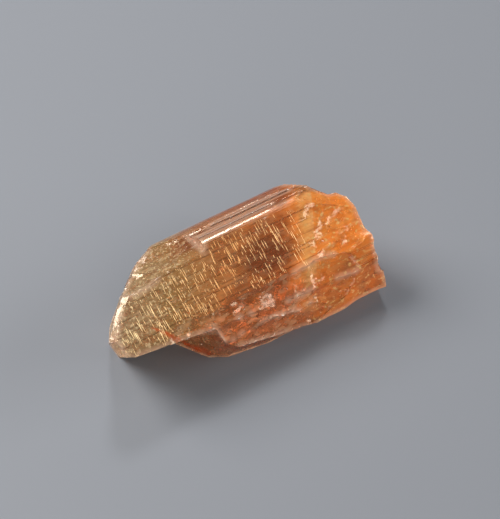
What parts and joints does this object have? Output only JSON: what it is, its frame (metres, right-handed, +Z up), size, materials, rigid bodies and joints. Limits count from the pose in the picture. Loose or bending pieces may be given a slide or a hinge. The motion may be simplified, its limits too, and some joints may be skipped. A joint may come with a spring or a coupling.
{
  "type": "topaz crystal",
  "caption": "Rough orange topaz crystal: a striated prism lying on its side, pale and chipped at one end, broken and deep orange at the other.",
  "frame": {"origin": "middle of the crystal's box, on the flat face that it rests on", "axes": "+X along the crystal's length (its c axis), towards the deep orange broken end; +Z up from the resting face; -Y towards the flaked lower front"},
  "size_m": [0.0186, 0.0092, 0.0065],
  "materials": {
    "topaz": "natural crystal faces, glassy with fine growth lines, frosted where broken"
  },
  "bodies": {
    "root": {"topaz_crystal": "topaz"}
  },
  "joints": []
}
